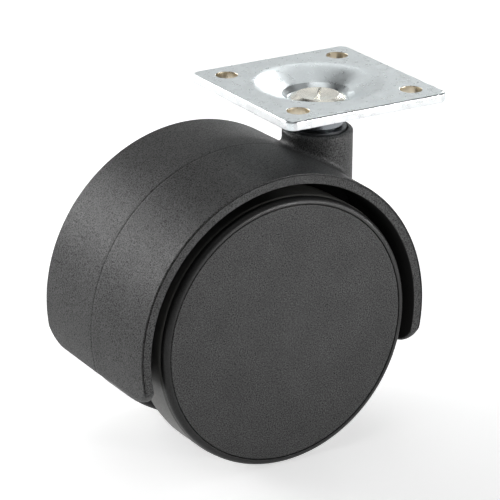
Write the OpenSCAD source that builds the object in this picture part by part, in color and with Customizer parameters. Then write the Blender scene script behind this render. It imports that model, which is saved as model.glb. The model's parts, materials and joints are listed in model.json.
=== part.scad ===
// Hooded twin-wheel furniture caster on a square screw plate.
//
// Millimetres. +Z is up, +X is the way the caster rolls and +Y is its left side.
// The origin is the centre of the plate's top face, on the swivel axis. The axle
// trails behind the swivel axis, so it lies on the -X side.

/* [Top plate] */
// Side of the square plate
plate_side = 38; // [37:0.5:44]
// Thickness of the plate's sheet
plate_t = 2; // [1.5:0.1:2.5]
// Radius of the plate's corners
plate_corner_r = 2; // [1:0.5:5]
// Spacing of the screw holes, the same both ways
screw_pitch = 27; // [26.5:0.5:30]
// Diameter of the screw holes
screw_d = 4.5; // [4:0.1:5]
// Bevel round both mouths of each screw hole
screw_bevel = 0.15; // [0.1:0.05:0.4]
// Diameter of the pressed dish where it meets the plate's top face
dish_d = 27.6; // [24:0.2:28]
// Diameter of the crease in the dish, where its wall gives way to a steeper cone
crease_d = 14.9; // [14:0.1:18]
// Depth of the crease below the top face
crease_depth = 2.4; // [2:0.1:2.8]
// Diameter of the flat seat for the riveted head
seat_d = 12.4; // [12:0.1:13]
// Depth of the seat below the top face
dish_depth = 3.4; // [3:0.1:4]
// Shape of the dish's wall above the crease: 1 is a cone, 2 a parabola
dish_curve = 1.25; // [1:0.05:2]

/* [Kingpin] */
// Diameter of the kingpin's shank
pin_d = 8; // [7:0.5:9]
// Depth of the kingpin's tip below the plate's top face
pin_tip_depth = 31.5; // [29:0.5:33]
// Diameter of the riveted head in the dish
head_d = 11.4; // [11:0.2:12]
// Height of the riveted head
head_h = 0.95; // [0.8:0.05:1.4]
// Height of the head's rim, below the cone round its top
head_rim_h = 0.25; // [0.1:0.05:0.5]
// Diameter of the head's top inside that cone
head_top_d = 8.7; // [7.5:0.1:9.5]
// Depth of the hollow that the riveting punch leaves in the head's top
hollow_depth = 0.35; // [0.2:0.05:0.5]
// Width of the punch's cleft across the head's top
cleft_w = 0.9; // [0.6:0.1:1.2]
// Depth of the cleft
cleft_depth = 0.6; // [0.4:0.05:0.8]
// Direction of the cleft, turned from the rolling direction
cleft_turn = 50; // [0:5:175]
// Diameter of the collar under the plate
collar_d = 10.4; // [9.6:0.2:11.4]
// Width of the groove for the grip ring, which is also the ring's thickness
groove_w = 1; // [0.8:0.1:1.2]
// Depth of the groove for the grip ring
groove_depth = 0.8; // [0.5:0.1:1]
// Outer diameter of the grip ring
grip_ring_d = 9.4; // [8.8:0.1:9.5]
// Width of the gap in the grip ring
grip_ring_gap = 2.4; // [1.5:0.1:4]

/* [Hood and neck] */
// Distance of the axle behind the swivel axis
axle_back = 19.6; // [18:0.2:22]
// Depth of the axle below the plate's top face
axle_drop = 43.8; // [42:0.2:46]
// Width of the hood along the axle
hood_w = 39.3; // [38:0.1:41]
// Outer radius of the hood at its two rims
hood_r = 33.2; // [32.6:0.1:34]
// How much the radius grows from a rim to the parting line in the middle
hood_draft = 0.35; // [0:0.05:0.6]
// Thickness of the hood's wall at its rims
hood_wall = 2.2; // [1.8:0.1:2.4]
// How far the hood's two ends reach below the axle
hood_end_drop = 9.6; // [7:0.2:10]
// Radius of the outer corner at the hood's ends
hood_end_r = 1.6; // [1:0.1:2]
// How far from a rim the ends start to curve up towards it
hood_end_curve_w = 5; // [3:0.5:7]
// How much higher the ends are at the rims
hood_end_rise = 3; // [1:0.2:4]
// Radius of the rims' edges
hood_edge_r = 0.35; // [0.2:0.05:0.5]
// Width of the fine groove along the parting line
parting_w = 0.24; // [0.1:0.02:0.4]
// Depth of the fine groove along the parting line
parting_depth = 0.12; // [0.05:0.01:0.2]
// Thickness of the web between the wheels
web_t = 4; // [3:0.5:5]
// Diameter of the boss that holds the axle
boss_d = 14; // [12:0.5:15]
// Diameter of the neck above the hood
neck_d = 14.6; // [14.2:0.1:15]
// Depth of the neck's top below the plate's top face
neck_top_depth = 9.5; // [8.5:0.1:10.5]
// Radius of the neck's top edge
neck_edge_r = 0.7; // [0.3:0.1:1]
// Diameter of the socket column inside the hood
column_d = 13.2; // [12.4:0.1:13.4]
// Thickness of the socket's blind end
socket_floor_t = 2; // [1.5:0.1:3]
// Outer diameter of the steel sleeve pressed into the neck
sleeve_d = 10; // [9.6:0.1:10.4]
// Length of the steel sleeve
sleeve_len = 15.5; // [13:0.5:16]
// Diameter of the swivel washer
swivel_washer_d = 12; // [11.4:0.1:12.2]
// Thickness of the swivel washer
swivel_washer_t = 1.4; // [1:0.1:1.6]
// Depth of the seat in the neck's mouth for the swivel washer
washer_seat_depth = 1; // [0.6:0.1:1.2]

/* [Axle] */
// Diameter of the axle
axle_d = 6; // [5:0.5:6.5]
// Length of the axle
axle_len = 36.8; // [36.4:0.1:37]
// Diameter of the washers on the axle
axle_washer_d = 12; // [10:0.5:13]
// Thickness of the washers on the axle
axle_washer_t = 0.8; // [0.5:0.1:1]
// Diameter of the clips at the axle's ends
clip_d = 10; // [9:0.5:11]
// Thickness of the clips at the axle's ends
clip_t = 0.6; // [0.5:0.1:0.8]

/* [Wheels] */
// Diameter of each wheel over its tread
wheel_d = 57; // [55:0.5:58]
// Width over both wheels' outer faces
wheels_w = 40.3; // [39.8:0.1:42]
// Width between the inner ends of the wheels' hubs, with their sliding gaps
wheel_gap = 14.4; // [14.2:0.1:15]
// How far the rims are set back from there
rim_setback = 1.4; // [0:0.1:1.6]
// How far the tread stands out of the rim's flanges
tread_proud = 0.15; // [0.05:0.05:0.4]
// Thickness of the tread
tread_t = 2.1; // [1.6:0.1:2.4]
// Width of the rim's flanges beside the tread
flange_w = 1.5; // [1.2:0.1:1.6]
// Radius of the outer flange's shoulder
shoulder_r = 1.2; // [0.6:0.1:1.3]
// Radius of the inner flange's edge
inner_edge_r = 1; // [0.5:0.1:1.4]
// Thickness of the rim's ring under the tread
rim_t = 2; // [1.6:0.1:2.5]
// Thickness of the rim's web
rim_web_t = 2; // [1.5:0.1:3]
// Outer diameter of the wheel's hub
hub_d = 17; // [14:0.5:18]
// Length of the wheel's hub
hub_len = 9; // [8:0.5:9]
// Number of spokes on the rim's web, which one round rib joins halfway
spoke_count = 8; // [5:1:12]
// Thickness of each spoke and of the round rib
rib_t = 1.6; // [1:0.1:2.5]
// Height of the spokes and the round rib above the web
rib_h = 4; // [3:0.1:5]
// Diameter of the cap at the seam with the rim
cap_d = 54; // [53:0.2:54]
// Thickness of the cap at its edge
cap_edge_t = 0.95; // [0.8:0.05:1]
// Thickness of the cap inside its spigot
cap_t = 1.4; // [1.2:0.1:1.5]
// Length of the cap's spigot
cap_spigot_len = 2.8; // [2:0.1:4]
// Thickness of the cap's spigot
cap_spigot_t = 1.7; // [1.2:0.1:2.5]

/* [Fits] */
// Radial clearance of a turning fit
running_fit = 0.05; // [0.03:0.01:0.1]
// Gap between faces that slide past each other
face_gap = 0.2; // [0.1:0.05:0.3]
// Gap round a piece that is pressed or snapped in
snap_gap = 0.05; // [0.02:0.01:0.1]

/* [Hidden] */

$fn = 96;
eps = 0.01;
arc_steps = 5;
dish_steps = 14;
left = 1;
right = -1;

// Colours of the materials
zinc = [0.78, 0.80, 0.82];
pin_zinc = [0.80, 0.78, 0.70];
steel = [0.62, 0.63, 0.65];
nylon = [0.23, 0.23, 0.24];
acetal = [0.85, 0.84, 0.80];
tread_grey = [0.50, 0.50, 0.48];

// Plate and kingpin, as heights
plate_bottom = -plate_t;
dish_floor = -dish_depth;
dish_bottom = dish_floor - plate_t;
head_top = dish_floor + head_h;
neck_top = -neck_top_depth;
washer_seat = neck_top - washer_seat_depth;
washer_top = washer_seat + swivel_washer_t;
collar_bottom = washer_top + face_gap;
sleeve_bottom = washer_seat - sleeve_len;
groove_top = sleeve_bottom - face_gap;
groove_bottom = groove_top - groove_w;
pin_tip = -pin_tip_depth;
socket_floor = pin_tip - 1;
column_bottom = socket_floor - socket_floor_t;
pin_chamfer = 0.8;

// Hood
hood_half = hood_w / 2;
hood_inner_r = hood_r - hood_wall;
hood_mid_r = hood_r + hood_draft;

// Axle, as distances from the middle plane
axle_half = axle_len / 2;
wheel_inner = wheel_gap / 2;
hub_inner = wheel_inner - face_gap;
rim_start = wheel_inner + rim_setback;
inner_washer_start = hub_inner - face_gap - axle_washer_t;
hub_outer = hub_inner + hub_len;
outer_washer_start = hub_outer + face_gap;
clip_start = outer_washer_start + axle_washer_t;
clip_end = clip_start + clip_t;
clip_groove_r = axle_d / 2 - 0.6;
axle_chamfer = 0.4;

// Wheel
wheel_r = wheel_d / 2;
wheel_outer = wheels_w / 2;
flange_r = wheel_r - tread_proud;
channel_r = wheel_r - tread_t;
rim_inner_r = channel_r - rim_t;
tread_start = rim_start + flange_w;
cap_seat = wheel_outer - cap_edge_t;
tread_end = cap_seat - 0.7;
tread_edge = 0.4;
web_start = rim_start + 0.6;
web_end = web_start + rim_web_t;
bush_wall = 0.85;
bush_bore_r = axle_d / 2 + running_fit;
bush_r = bush_bore_r + bush_wall;
bush_flange_r = 5.2;
bush_flange_t = 0.8;

// Points along an arc, from angle a0 to angle a1
function arc(centre, r, a0, a1) = [
    for (i = [0 : arc_steps])
        let (a = a0 + (a1 - a0) * i / arc_steps)
        centre + r * [cos(a), sin(a)]
];

// Places a piece drawn along +Z on the axle, pointing outwards on one side
module on_axle(side) {
    translate([-axle_back, 0, -axle_drop])
        rotate([-90 * side, 0, 0])
            children();
}

// A round ring along +Z
module ring(outer_r, inner_r, start, length) {
    translate([0, 0, start])
        linear_extrude(length)
            difference() {
                circle(outer_r);
                circle(inner_r);
            }
}

// ---------------------------------------------------------------- top plate

// Height of the dish's wall at fraction s of the way from the crease to the rim
function wall_height(s) = -crease_depth * pow(1 - s, dish_curve);

module plate_outline() {
    flat = plate_side - 2 * plate_corner_r;
    square([plate_side, flat], center = true);
    square([flat, plate_side], center = true);
    for (x = [-1, 1], y = [-1, 1])
        translate([x, y] * flat / 2)
            circle(plate_corner_r);
}

module dish() {
    crease_r = crease_d / 2;
    span = dish_d / 2 - crease_r;
    wall = [
        for (i = [0 : dish_steps])
            let (s = i / dish_steps)
            [crease_r + span * s, wall_height(s)]
    ];
    top = concat([[pin_d / 2, dish_floor], [seat_d / 2, dish_floor]], wall);
    bottom = [
        for (i = [len(top) - 1 : -1 : 0])
            top[i] - [0, plate_t]
    ];
    rotate_extrude()
        polygon(concat(top, bottom));
}

module screw_hole() {
    r = screw_d / 2;
    profile = [
        [0, eps], [r + screw_bevel + eps, eps],
        [r, -screw_bevel], [r, plate_bottom + screw_bevel],
        [r + screw_bevel + eps, plate_bottom - eps], [0, plate_bottom - eps]
    ];
    rotate_extrude()
        polygon(profile);
}

module top_plate() {
    color(zinc)
    difference() {
        union() {
            translate([0, 0, plate_bottom])
                linear_extrude(plate_t)
                    difference() {
                        plate_outline();
                        circle(dish_d / 2);
                    }
            dish();
        }
        for (x = [-1, 1], y = [-1, 1])
            translate([x, y, 0] * screw_pitch / 2)
                screw_hole();
    }
}

// ------------------------------------------------------------------ kingpin

module kingpin() {
    shank_r = pin_d / 2;
    head_r = head_d / 2;
    head_top_r = head_top_d / 2;
    hollow_rim = 0.3;
    collar_r = collar_d / 2;
    collar_bevel = 0.5;
    groove_r = shank_r - groove_depth;
    profile = [
        [0, head_top - hollow_depth],
        [head_top_r - hollow_rim, head_top],
        [head_top_r, head_top],
        [head_r, dish_floor + head_rim_h],
        [head_r, dish_floor],
        [shank_r, dish_floor],
        [shank_r, dish_bottom],
        [collar_r, dish_bottom],
        [collar_r, collar_bottom + collar_bevel],
        [collar_r - collar_bevel, collar_bottom],
        [shank_r, collar_bottom],
        [shank_r, groove_top],
        [groove_r, groove_top],
        [groove_r, groove_bottom],
        [shank_r, groove_bottom],
        [shank_r, pin_tip + pin_chamfer],
        [shank_r - pin_chamfer, pin_tip],
        [0, pin_tip]
    ];
    color(pin_zinc)
    difference() {
        rotate_extrude()
            polygon(profile);
        rotate(cleft_turn)
            translate([-head_top_r + hollow_rim, -cleft_w / 2, head_top - cleft_depth])
                cube([2 * (head_top_r - hollow_rim), cleft_w, 1]);
    }
}

module grip_ring() {
    ring_r = grip_ring_d / 2;
    color(steel)
    difference() {
        ring(ring_r, pin_d / 2 - groove_depth, groove_bottom, groove_w);
        translate([0, -grip_ring_gap / 2, groove_bottom - eps])
            cube([ring_r + eps, grip_ring_gap, groove_w + 2 * eps]);
    }
}

// --------------------------------------------------------------------- hood

// Cross-section of the hood's wall: x is the radius, y runs along the axle
module hood_section() {
    e = hood_edge_r;
    half_groove = parting_w / 2;
    polygon(concat(
        arc([hood_inner_r + e, -hood_half + e], e, 180, 270),
        arc([hood_r - e, -hood_half + e], e, 270, 360),
        [
            [hood_mid_r, -half_groove],
            [hood_mid_r - parting_depth, 0],
            [hood_mid_r, half_groove]
        ],
        arc([hood_r - e, hood_half - e], e, 0, 90),
        arc([hood_inner_r + e, hood_half - e], e, 90, 180)
    ));
}

// The space below the hood's two ends, in the plane of the wheels
module below_ends() {
    span = 2 * hood_r;
    arc_x = sqrt(pow(hood_r - hood_end_r, 2) - pow(hood_end_drop - hood_end_r, 2));
    centre = [arc_x, hood_end_r - hood_end_drop];
    translate([-span, -hood_end_drop - span])
        square([2 * span, span]);
    for (side = [0, 1])
        mirror([side, 0])
            difference() {
                polygon([
                    centre,
                    [centre[0], -hood_end_drop - 1],
                    [hood_mid_r + 1, -hood_end_drop - 1],
                    centre * (hood_mid_r + 1) / (hood_r - hood_end_r)
                ]);
                translate(centre)
                    circle(hood_end_r);
            }
}

// The space below the curves that lead from the hood's ends up to its rims:
// x is the distance from the middle plane, y the height above the axle
module below_end_curves() {
    curve_r = (pow(hood_end_curve_w, 2) + pow(hood_end_rise, 2)) / (2 * hood_end_rise);
    centre = [hood_half - hood_end_curve_w, curve_r - hood_end_drop];
    for (side = [0, 1])
        mirror([side, 0])
            difference() {
                translate([centre[0], -hood_end_drop - 1])
                    square([hood_end_curve_w + 1, hood_end_rise + 1]);
                translate(centre)
                    circle(curve_r);
            }
}

module hood_shell() {
    translate([-axle_back, 0, -axle_drop])
        difference() {
            rotate([90, 0, 0])
                rotate_extrude()
                    hood_section();
            rotate([90, 0, 0])
                linear_extrude(2 * hood_w, center = true)
                    below_ends();
            rotate([90, 0, 90])
                linear_extrude(4 * hood_r, center = true)
                    below_end_curves();
        }
}

// The web between the wheels and the boss for the axle
module hood_web() {
    translate([-axle_back, 0, -axle_drop])
        rotate([90, 0, 0]) {
            linear_extrude(web_t, center = true)
                difference() {
                    circle(hood_inner_r + hood_wall / 2);
                    translate([-2 * hood_r, -hood_end_drop - 2 * hood_r])
                        square([4 * hood_r, 2 * hood_r]);
                }
            cylinder(h = 2 * inner_washer_start, d = boss_d, center = true);
        }
}

// The neck outside the hood, cut away where the wheels run
module neck() {
    r = neck_d / 2;
    depth = column_bottom - neck_top;
    difference() {
        rotate_extrude()
            polygon(concat(
                [[0, neck_top + depth], [r, neck_top + depth]],
                arc([r - neck_edge_r, neck_top - neck_edge_r], neck_edge_r, 0, 90),
                [[0, neck_top]]
            ));
        translate([-axle_back, 0, -axle_drop])
            rotate([90, 0, 0])
                cylinder(h = 2 * hood_w, r = hood_inner_r, center = true);
    }
}

module hood_body() {
    color(nylon)
    difference() {
        union() {
            hood_shell();
            hood_web();
            neck();
            translate([0, 0, column_bottom])
                cylinder(h = neck_top - neck_edge_r - column_bottom, d = column_d);
        }
        translate([0, 0, socket_floor])
            cylinder(h = -socket_floor, d = sleeve_d);
        translate([0, 0, washer_seat])
            cylinder(h = -washer_seat, d = swivel_washer_d + 2 * snap_gap);
        translate([-axle_back, 0, -axle_drop])
            rotate([90, 0, 0])
                cylinder(h = hood_w, d = axle_d, center = true);
    }
}

module neck_sleeve() {
    color(steel)
    ring(sleeve_d / 2, pin_d / 2 + running_fit, sleeve_bottom, sleeve_len);
}

module swivel_washer() {
    color(steel)
    ring(swivel_washer_d / 2, pin_d / 2 + face_gap, washer_seat, swivel_washer_t);
}

// --------------------------------------------------------------------- axle

module axle() {
    r = axle_d / 2;
    end = [
        [r, clip_start],
        [clip_groove_r, clip_start],
        [clip_groove_r, clip_end],
        [r, clip_end],
        [r, axle_half - axle_chamfer],
        [r - axle_chamfer, axle_half],
        [0, axle_half]
    ];
    other_end = [
        for (i = [len(end) - 1 : -1 : 0])
            [end[i][0], -end[i][1]]
    ];
    color(steel)
    on_axle(left)
        rotate_extrude()
            polygon(concat(other_end, end));
}

module axle_washer(side, start) {
    color(steel)
    on_axle(side)
        ring(axle_washer_d / 2, axle_d / 2 + snap_gap, start, axle_washer_t);
}

// An open clip that snaps into the groove at the axle's end
module axle_clip(side) {
    r = clip_d / 2;
    mouth = 1.7 * clip_groove_r;
    color(steel)
    on_axle(side)
        difference() {
            ring(r, clip_groove_r, clip_start, clip_t);
            translate([0, -mouth / 2, clip_start - eps])
                cube([r + eps, mouth, clip_t + 2 * eps]);
        }
}

// ------------------------------------------------------------------- wheels

// Cross-section of the rim: x is the radius, y the distance from the middle plane
module rim_section() {
    hub_r = hub_d / 2;
    cap_r = cap_d / 2;
    polygon(concat(
        [
            [bush_r, hub_inner + bush_flange_t],
            [bush_flange_r, hub_inner + bush_flange_t],
            [bush_flange_r, hub_inner],
            [hub_r, hub_inner],
            [hub_r, web_start],
            [rim_inner_r, web_start],
            [rim_inner_r, rim_start]
        ],
        arc([flange_r - inner_edge_r, rim_start + inner_edge_r], inner_edge_r, 270, 360),
        [
            [flange_r, tread_start],
            [channel_r, tread_start],
            [channel_r, tread_end],
            [flange_r, tread_end]
        ],
        arc([flange_r - shoulder_r, wheel_outer - shoulder_r], shoulder_r, 0, 90),
        [
            [cap_r, wheel_outer],
            [cap_r, cap_seat],
            [rim_inner_r, cap_seat],
            [rim_inner_r, web_end],
            [hub_r, web_end],
            [hub_r, hub_outer],
            [bush_r, hub_outer]
        ]
    ));
}

module wheel_rim(side) {
    sunk = 1;
    spoke_start = hub_d / 2 - sunk;
    spoke_len = rim_inner_r + sunk - spoke_start;
    halfway = (hub_d / 2 + rim_inner_r) / 2;
    color(nylon)
    on_axle(side) {
        rotate_extrude()
            rim_section();
        ring(halfway + rib_t / 2, halfway - rib_t / 2, web_end - sunk, rib_h + sunk);
        for (i = [0 : spoke_count - 1])
            rotate(i * 360 / spoke_count)
                translate([spoke_start, -rib_t / 2, web_end - sunk])
                    cube([spoke_len, rib_t, rib_h + sunk]);
    }
}

module tread(side) {
    color(tread_grey)
    on_axle(side)
        rotate_extrude()
            polygon([
                [channel_r, tread_start],
                [flange_r, tread_start],
                [wheel_r, tread_start + tread_edge],
                [wheel_r, tread_end - tread_edge],
                [flange_r, tread_end],
                [channel_r, tread_end]
            ]);
}

// A flanged plain bearing in the wheel's hub
module hub_bush(side) {
    color(acetal)
    on_axle(side)
        rotate_extrude()
            polygon([
                [bush_bore_r, hub_inner],
                [bush_flange_r, hub_inner],
                [bush_flange_r, hub_inner + bush_flange_t],
                [bush_r, hub_inner + bush_flange_t],
                [bush_r, hub_outer],
                [bush_bore_r, hub_outer]
            ]);
}

module hub_cap(side) {
    edge_r = cap_d / 2 - snap_gap;
    edge_bevel = 0.15;
    spigot_r = rim_inner_r - snap_gap;
    inside = wheel_outer - cap_t;
    color(nylon)
    on_axle(side)
        rotate_extrude()
            polygon([
                [0, inside],
                [spigot_r - cap_spigot_t, inside],
                [spigot_r - cap_spigot_t, cap_seat - cap_spigot_len],
                [spigot_r, cap_seat - cap_spigot_len],
                [spigot_r, cap_seat],
                [edge_r, cap_seat],
                [edge_r, wheel_outer - edge_bevel],
                [edge_r - edge_bevel, wheel_outer],
                [0, wheel_outer]
            ]);
}

// ------------------------------------------------------------------- pieces

top_plate();
kingpin();
grip_ring();
hood_body();
neck_sleeve();
swivel_washer();
axle();
axle_washer(left, inner_washer_start);  // left_inner_washer
axle_washer(right, inner_washer_start);  // right_inner_washer
axle_washer(left, outer_washer_start);  // left_outer_washer
axle_washer(right, outer_washer_start);  // right_outer_washer
axle_clip(left);  // left_axle_clip
axle_clip(right);  // right_axle_clip
wheel_rim(left);  // left_wheel_rim
wheel_rim(right);  // right_wheel_rim
tread(left);  // left_tread
tread(right);  // right_tread
hub_bush(left);  // left_hub_bush
hub_bush(right);  // right_hub_bush
hub_cap(left);  // left_hub_cap
hub_cap(right);  // right_hub_cap
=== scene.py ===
"""The looks of a hooded twin-wheel furniture caster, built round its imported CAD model.

Shapes are worked out in millimetres in the CAD model's frame and written in metres. +X is the
way the caster rolls, +Y is its left side, and the origin is the centre of the plate's top.
"""
import json
import math

import bmesh
import bpy
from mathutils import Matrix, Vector
from mathutils.geometry import delaunay_2d_cdt


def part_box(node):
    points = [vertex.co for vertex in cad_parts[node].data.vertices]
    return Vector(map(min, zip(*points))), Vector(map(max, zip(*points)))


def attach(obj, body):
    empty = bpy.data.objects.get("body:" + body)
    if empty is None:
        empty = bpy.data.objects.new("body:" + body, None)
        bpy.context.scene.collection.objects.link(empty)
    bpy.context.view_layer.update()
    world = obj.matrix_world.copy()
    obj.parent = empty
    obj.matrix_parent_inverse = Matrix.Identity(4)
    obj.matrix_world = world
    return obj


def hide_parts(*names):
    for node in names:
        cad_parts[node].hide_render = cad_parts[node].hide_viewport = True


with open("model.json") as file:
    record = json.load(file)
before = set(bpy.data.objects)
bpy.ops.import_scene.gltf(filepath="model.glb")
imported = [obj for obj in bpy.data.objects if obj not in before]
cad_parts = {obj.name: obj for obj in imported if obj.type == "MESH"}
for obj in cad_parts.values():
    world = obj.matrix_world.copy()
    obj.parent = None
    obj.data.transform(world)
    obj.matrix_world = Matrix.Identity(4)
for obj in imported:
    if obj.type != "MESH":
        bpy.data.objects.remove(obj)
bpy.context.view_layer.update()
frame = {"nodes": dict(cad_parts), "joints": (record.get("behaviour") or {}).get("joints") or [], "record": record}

MM = 0.001


# ------------------------------------------------------------ sizes from the frame

def node_box(node):
    """A node's lowest and highest corner, in millimetres."""
    low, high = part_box(node)
    return low / MM, high / MM


record = frame["record"]
joint_at = {j["name"]: Vector(j["pos_m"]) / MM for j in frame["joints"]}
mount = {m["name"]: m for m in record["mounts"]}

plate_low, plate_high = node_box("top_plate")
pin_low, pin_high = node_box("kingpin")
hood_low, hood_high = node_box("hood_body")
washer_low, washer_high = node_box("swivel_washer")
sleeve_low, sleeve_high = node_box("neck_sleeve")
inner_washer_low = node_box("left_inner_washer")[0]
axle_high = node_box("axle")[1]
rim_low, rim_high = node_box("left_wheel_rim")
tread_low, tread_high = node_box("left_tread")
cap_low, cap_high = node_box("left_hub_cap")
bush_low, bush_high = node_box("left_hub_bush")

AXLE_X = joint_at["left_wheel_spin"].x
AXLE_Z = joint_at["left_wheel_spin"].z
GROUND_Z = tread_low.z

# Plate
PLATE_SIDE = plate_high.x - plate_low.x
PLATE_T = 2.0
PLATE_CORNER_R = 2.0
DISH_R = 13.8
DISH_DEPTH = -plate_low.z - PLATE_T
DISH_SOFTNESS = 0.5
CREASE_R = 7.45
CREASE_DEPTH = 2.4
SEAT_R = 6.2
SCREW_PITCH = mount["plate_screws"]["dims"]["spacing_x_mm"]
SCREW_R = mount["plate_screws"]["dims"]["hole_r_mm"]

# Kingpin
PIN_R = 4.0
HEAD_R = 5.7
HEAD_RIM_H = 0.25
HEAD_TOP_R = 4.35
HEAD_TOP = pin_high.z
HOLLOW_R = HEAD_TOP_R - 0.3
HOLLOW_DEPTH = 0.35
CLEFT_TURN = 50.0
COLLAR_R = 5.2
COLLAR_TOP = -DISH_DEPTH - PLATE_T
COLLAR_BOTTOM = washer_high.z + 0.2
GROOVE_TOP = sleeve_low.z - 0.2
GROOVE_BOTTOM = GROOVE_TOP - 1.0
GROOVE_R = PIN_R - 0.8
PIN_CHAMFER = 0.8
PIN_TIP = pin_low.z

# Hood and neck
HOOD_HALF = hood_high.y
HOOD_MID_R = AXLE_X - hood_low.x
HOOD_DRAFT = 0.35
HOOD_RIM_R = HOOD_MID_R - HOOD_DRAFT
HOOD_WALL = 2.2
HOOD_INNER_R = HOOD_RIM_R - HOOD_WALL
HOOD_DROP = AXLE_Z - hood_low.z
NECK_R = 7.3
NECK_TOP = hood_high.z
WEB_T = 4.0
BOSS_R = 7.0
COLUMN_R = 6.6
SOCKET_R = sleeve_high.x
SOCKET_FLOOR = PIN_TIP - 1.0
SOCKET_BEVEL = 0.3
COLUMN_BOTTOM = SOCKET_FLOOR - 2.0
COLUMN_TOP = NECK_TOP - 4.6
WEB_EDGE_R = 0.4
WEB_UNDERCUT = 0.2

# Wheels, measured from the middle plane outwards
RIM_START = tread_low.y - 1.5
WHEEL_OUTER = rim_high.y
FLANGE_R = (rim_high.x - rim_low.x) / 2
TREAD_R = (tread_high.x - tread_low.x) / 2
TREAD_START = tread_low.y
TREAD_END = tread_high.y
TREAD_T = 2.1
CHANNEL_R = TREAD_R - TREAD_T
RIM_T = 2.0
RIM_INNER_R = CHANNEL_R - RIM_T
RIM_WEB_START = RIM_START + 0.6
RIM_WEB_END = RIM_WEB_START + 2.0
SHOULDER_R = 1.15
CAP_R = (cap_high.x - cap_low.x) / 2
CAP_SEAT = WHEEL_OUTER - 0.95
CAP_T = 1.4
CAP_SEAM = 0.06
SPIGOT_T = 1.7
SNAP_GAP = 0.05
HUB_R = 8.5
BUSH_R = 3.9
BUSH_FLANGE_R = 5.2
BUSH_FLANGE_T = 0.8


# ------------------------------------------------------------------ mesh helpers

def arc(cx, cy, r, start, end, steps):
    """Points from angle start to angle end, in degrees, both included."""
    angles = [math.radians(start + (end - start) * i / steps) for i in range(steps + 1)]
    return [(cx + r * math.cos(a), cy + r * math.sin(a)) for a in angles]


def rounded(corners, closed=True, steps=5):
    """An outline whose corners, each (x, y, radius), are rounded."""
    points = []
    count = len(corners)
    for i, (x, y, r) in enumerate(corners):
        at_end = not closed and i in (0, count - 1)
        if r <= 0 or at_end:
            points.append((x, y))
            continue
        here = Vector((x, y))
        before = (Vector(corners[i - 1][:2]) - here).normalized()
        after = (Vector(corners[(i + 1) % count][:2]) - here).normalized()
        half = before.angle(after) / 2
        reach = r / math.tan(half)
        centre = here + (before + after).normalized() * (r / math.sin(half))
        first = here + before * reach - centre
        turn = first.angle_signed(here + after * reach - centre)
        for k in range(steps + 1):
            a = -turn * k / steps
            spoke = Vector((first.x * math.cos(a) - first.y * math.sin(a),
                            first.x * math.sin(a) + first.y * math.cos(a)))
            points.append(tuple(centre + spoke))
    return points


def add_mesh(name, verts, faces, sharp=38.0):
    """A mesh object from points in millimetres, with its doubled points merged."""
    mesh = bpy.data.meshes.new(name)
    mesh.from_pydata([Vector(v) * MM for v in verts], [], faces)
    bm = bmesh.new()
    bm.from_mesh(mesh)
    bmesh.ops.remove_doubles(bm, verts=bm.verts, dist=1e-4 * MM)
    loose = [v for v in bm.verts if not v.link_faces]
    bmesh.ops.delete(bm, geom=loose, context="VERTS")
    bmesh.ops.recalc_face_normals(bm, faces=bm.faces)
    bm.to_mesh(mesh)
    bm.free()
    obj = bpy.data.objects.new(name, mesh)
    bpy.context.scene.collection.objects.link(obj)
    smooth(obj, sharp)
    return obj


def smooth(obj, sharp):
    """Smooth shading, but sharp where faces meet at more than that angle."""
    mesh = obj.data
    mesh.polygons.foreach_set("use_smooth", [True] * len(mesh.polygons))
    mesh.set_sharp_from_angle(angle=math.radians(sharp))
    mesh.update()


def flat_faces_stay_flat(obj):
    """Normals follow the larger faces, so that small roundings don't shade the flats."""
    weighted = obj.modifiers.new("face_weighted_normals", "WEIGHTED_NORMAL")
    weighted.mode = "FACE_AREA"
    weighted.weight = 90
    weighted.keep_sharp = True


def revolve(outline, place, turns=144, closed=True):
    """Points and faces of an outline of (radius, height) turned about an axis."""
    verts, faces = [], []
    count = len(outline)
    for k in range(turns):
        a = 2 * math.pi * k / turns
        verts += [place(r * math.cos(a), r * math.sin(a), h) for r, h in outline]
    spans = count if closed else count - 1
    for k in range(turns):
        a, b = k * count, (k + 1) % turns * count
        for i in range(spans):
            j = (i + 1) % count
            on_axis = [outline[i][0] < 1e-9, outline[j][0] < 1e-9]
            if all(on_axis):
                continue
            if on_axis[0]:
                faces.append((a + i, a + j, b + j))
            elif on_axis[1]:
                faces.append((a + i, a + j, b + i))
            else:
                faces.append((a + i, a + j, b + j, b + i))
    return verts, faces


def upright(x, y, h):
    """Places a turned shape on the swivel axis."""
    return (x, y, h)


def across(side):
    """Places a turned shape on the axle, pointing out of one side."""
    return lambda x, y, h: (AXLE_X + x, side * h, AXLE_Z + y)


def lathe(name, outline, place, turns=144, closed=True, sharp=38.0):
    """An object made of an outline turned about an axis."""
    return add_mesh(name, *revolve(outline, place, turns, closed), sharp)


def boolean(obj, operation, tools):
    """Adds the tools to obj, or cuts them out of it, and removes them."""
    for tool in tools:
        step = obj.modifiers.new(operation.lower(), "BOOLEAN")
        step.operation = operation
        step.object = tool
        step.solver = "EXACT"
    depsgraph = bpy.context.evaluated_depsgraph_get()
    obj.data = bpy.data.meshes.new_from_object(obj.evaluated_get(depsgraph))
    obj.modifiers.clear()
    for tool in tools:
        bpy.data.objects.remove(tool)
    return obj


def finish_piece(obj, body, material, nodes=()):
    """Gives a piece its material and body, and hides the CAD nodes it stands for."""
    obj.data.materials.clear()
    obj.data.materials.append(material)
    flat_faces_stay_flat(obj)
    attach(obj, body)
    if nodes:
        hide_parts(*nodes)
    return obj


# ---------------------------------------------------------------------- materials

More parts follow.
